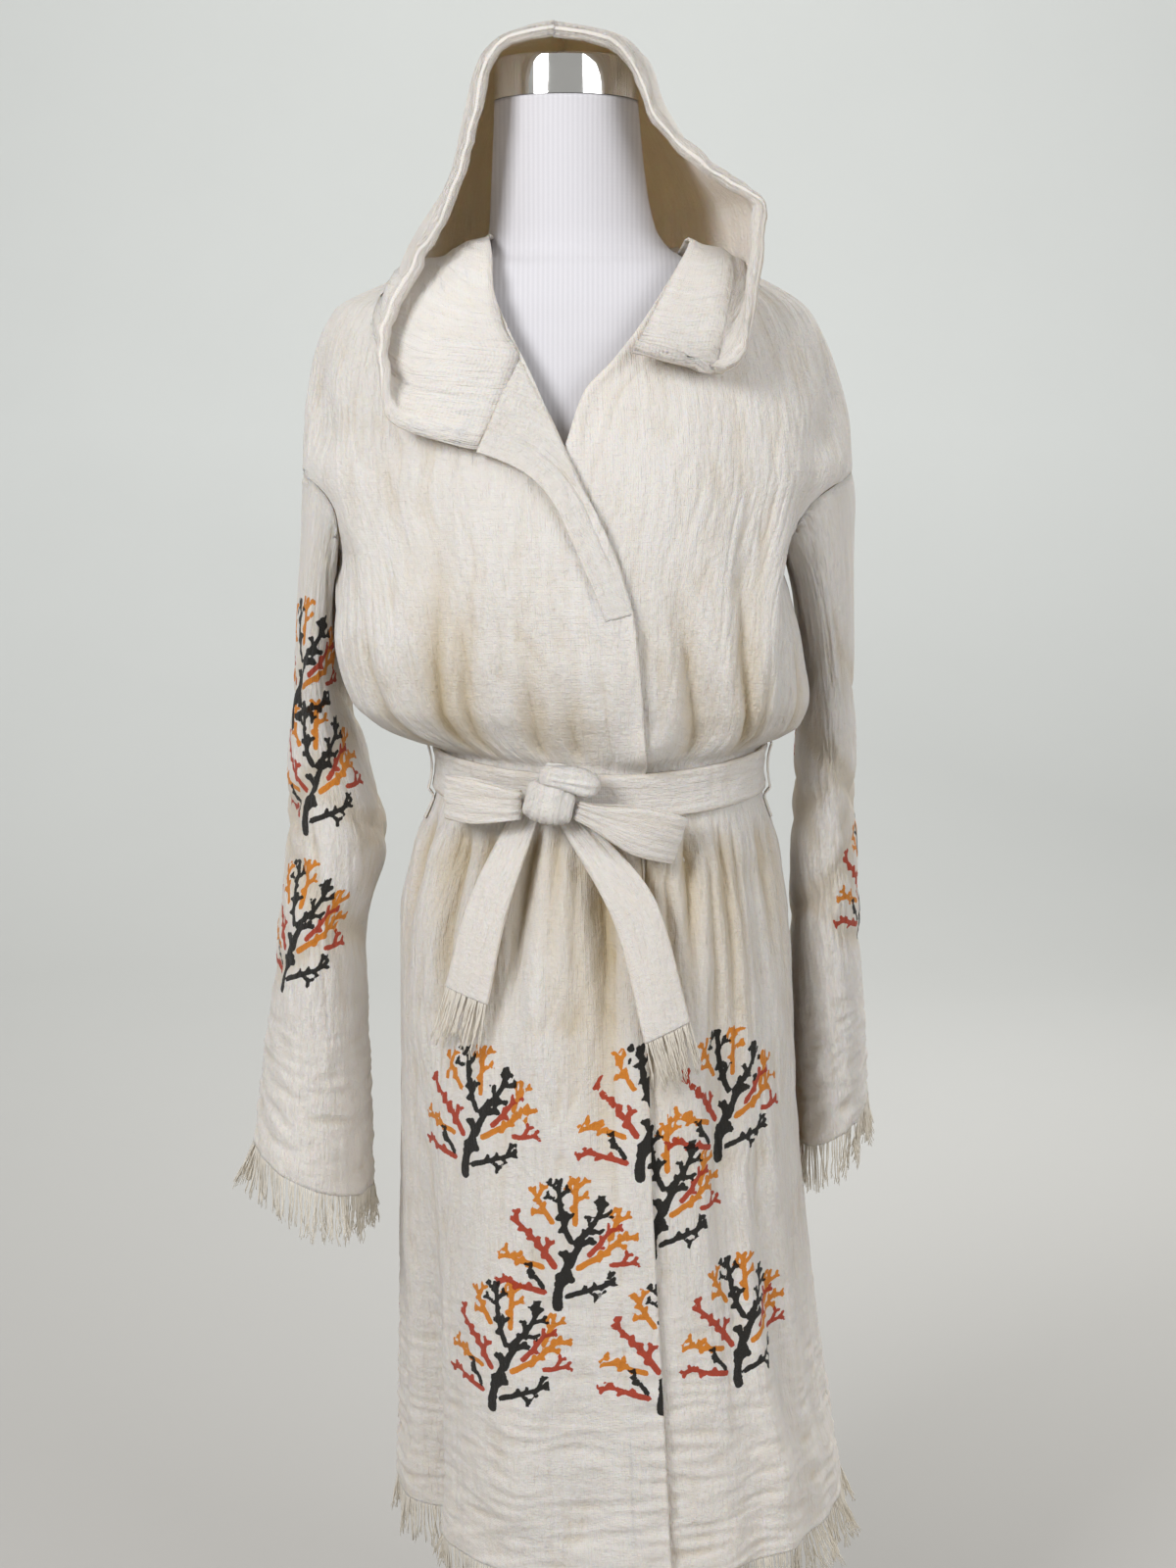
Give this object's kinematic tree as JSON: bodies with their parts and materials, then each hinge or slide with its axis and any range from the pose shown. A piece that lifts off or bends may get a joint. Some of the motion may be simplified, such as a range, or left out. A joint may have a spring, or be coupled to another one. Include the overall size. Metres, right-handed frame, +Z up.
{
  "type": "kimono robe on a limbless dress form and stand",
  "caption": "Hooded kimono-cut wrap robe of off-white gauze with a coral print, tie belt and fringed hems, worn by a limbless dress form on a round-based stand.",
  "frame": {"origin": "centre of the underside of the stand's round base", "axes": "+Z up; the robe's front faces -Y and the wearer's left side is +X"},
  "size_m": [0.5436, 0.3505, 1.518],
  "materials": {
    "gauze": "crinkled cotton double gauze, matt",
    "thread": "ravelled cotton threads, matt",
    "jersey": "fine ribbed jersey, matt",
    "chrome": "polished"
  },
  "bodies": {
    "root": {"front_right": "gauze", "front_left": "gauze", "back": "gauze", "sleeve_right": "gauze", "sleeve_left": "gauze", "hood_left": "gauze", "hood_right": "gauze", "lapel_right": "gauze", "belt_waist": "gauze", "belt_knot": "gauze", "belt_bow_right": "gauze", "belt_bow_left": "gauze", "belt_tail_right": "gauze", "belt_tail_left": "gauze", "belt_loop_right": "thread", "belt_loop_left": "thread", "fringe_hem_front_right": "thread", "fringe_hem_front_left": "thread", "fringe_hem_back": "thread", "fringe_cuff_right": "thread", "fringe_cuff_left": "thread", "fringe_belt_right": "thread", "fringe_belt_left": "thread", "form_body": "jersey", "form_neck": "jersey", "form_neck_cap": "chrome", "stand_pole": "chrome", "stand_base": "chrome"}
  },
  "joints": []
}
